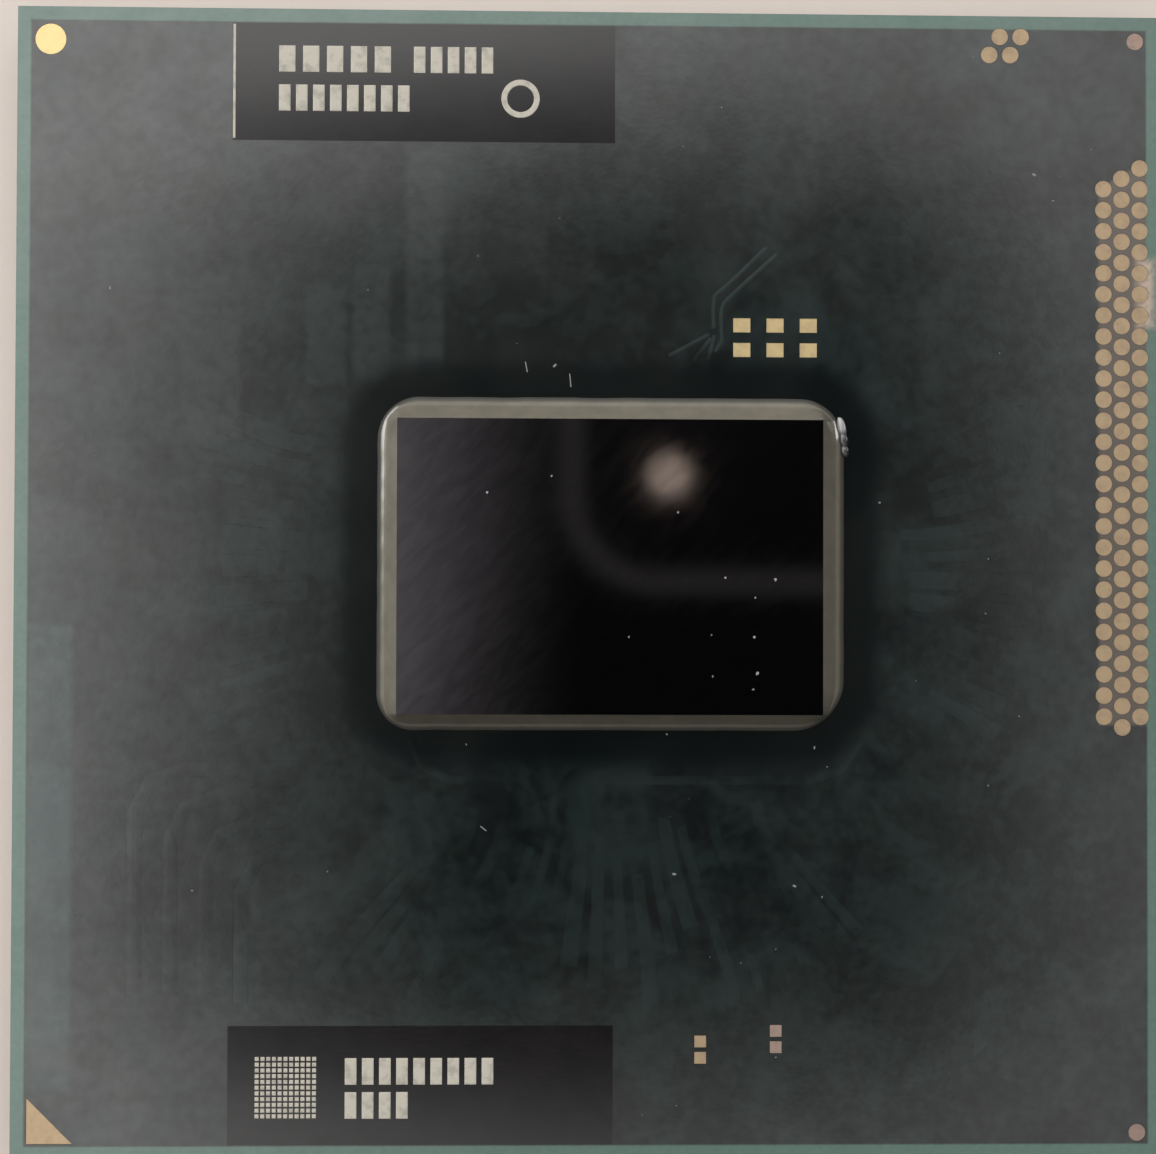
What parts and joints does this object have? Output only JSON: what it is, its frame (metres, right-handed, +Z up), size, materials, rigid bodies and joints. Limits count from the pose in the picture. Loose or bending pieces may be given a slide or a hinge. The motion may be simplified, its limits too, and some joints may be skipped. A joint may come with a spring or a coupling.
{
  "type": "cpu chip",
  "caption": "Square laptop processor package: a bare silicon die in a resin bead on a dark green laminate with gold pads and black ink panels, and a grid of contact pins below.",
  "frame": {"origin": "middle of the package at the plane of the pin tips", "axes": "+Z up through the die's face, +Y towards the edge with the round fiducial, +X towards the edge with the test pads"},
  "size_m": [0.0376, 0.0376, 0.0032],
  "materials": {
    "laminate": "cut edge, satin",
    "solder_mask": "satin gloss film",
    "silicon": "polished",
    "underfill_resin": "satin",
    "solder": "dull bright",
    "gold_pad": "satin",
    "gold_pin": "satin",
    "black_ink": "satin print",
    "ceramic_capacitor": "satin"
  },
  "bodies": {
    "root": {"laminate": "laminate", "top_solder_mask": "solder_mask", "silicon_die": "silicon", "underfill": "underfill_resin", "die_bumps": "solder", "fiducial_pad": "gold_pad", "first_pin_triangle": "gold_pad", "pad_cluster": "gold_pad", "corner_pad_upper": "gold_pad", "corner_pad_lower": "gold_pad", "test_pads_inner": "gold_pad", "test_pads_middle": "gold_pad", "test_pads_outer": "gold_pad", "component_pads": "gold_pad", "pad_pair_left": "gold_pad", "pad_pair_right": "gold_pad", "upper_ink_panel": "black_ink", "lower_ink_panel": "black_ink", "pins_outer_ring": "gold_pin", "pins_inner_ring": "gold_pin", "pins_north": "gold_pin", "pins_south": "gold_pin", "pins_east": "gold_pin", "pins_west": "gold_pin", "pin_solder_outer_ring": "solder", "pin_solder_inner_ring": "solder", "pin_solder_north": "solder", "pin_solder_south": "solder", "pin_solder_east": "solder", "pin_solder_west": "solder", "capacitor_01": "ceramic_capacitor", "capacitor_02": "ceramic_capacitor", "capacitor_03": "ceramic_capacitor", "capacitor_04": "ceramic_capacitor", "capacitor_05": "ceramic_capacitor", "capacitor_06": "ceramic_capacitor", "capacitor_07": "ceramic_capacitor", "capacitor_08": "ceramic_capacitor", "capacitor_09": "ceramic_capacitor", "capacitor_10": "ceramic_capacitor", "capacitor_11": "ceramic_capacitor", "capacitor_12": "ceramic_capacitor", "capacitor_13": "ceramic_capacitor", "capacitor_14": "ceramic_capacitor", "capacitor_15": "ceramic_capacitor", "capacitor_16": "ceramic_capacitor", "capacitor_17": "ceramic_capacitor", "capacitor_18": "ceramic_capacitor", "capacitor_19": "ceramic_capacitor", "capacitor_20": "ceramic_capacitor", "capacitor_21": "ceramic_capacitor", "capacitor_22": "ceramic_capacitor", "capacitor_23": "ceramic_capacitor", "capacitor_24": "ceramic_capacitor"}
  },
  "joints": []
}
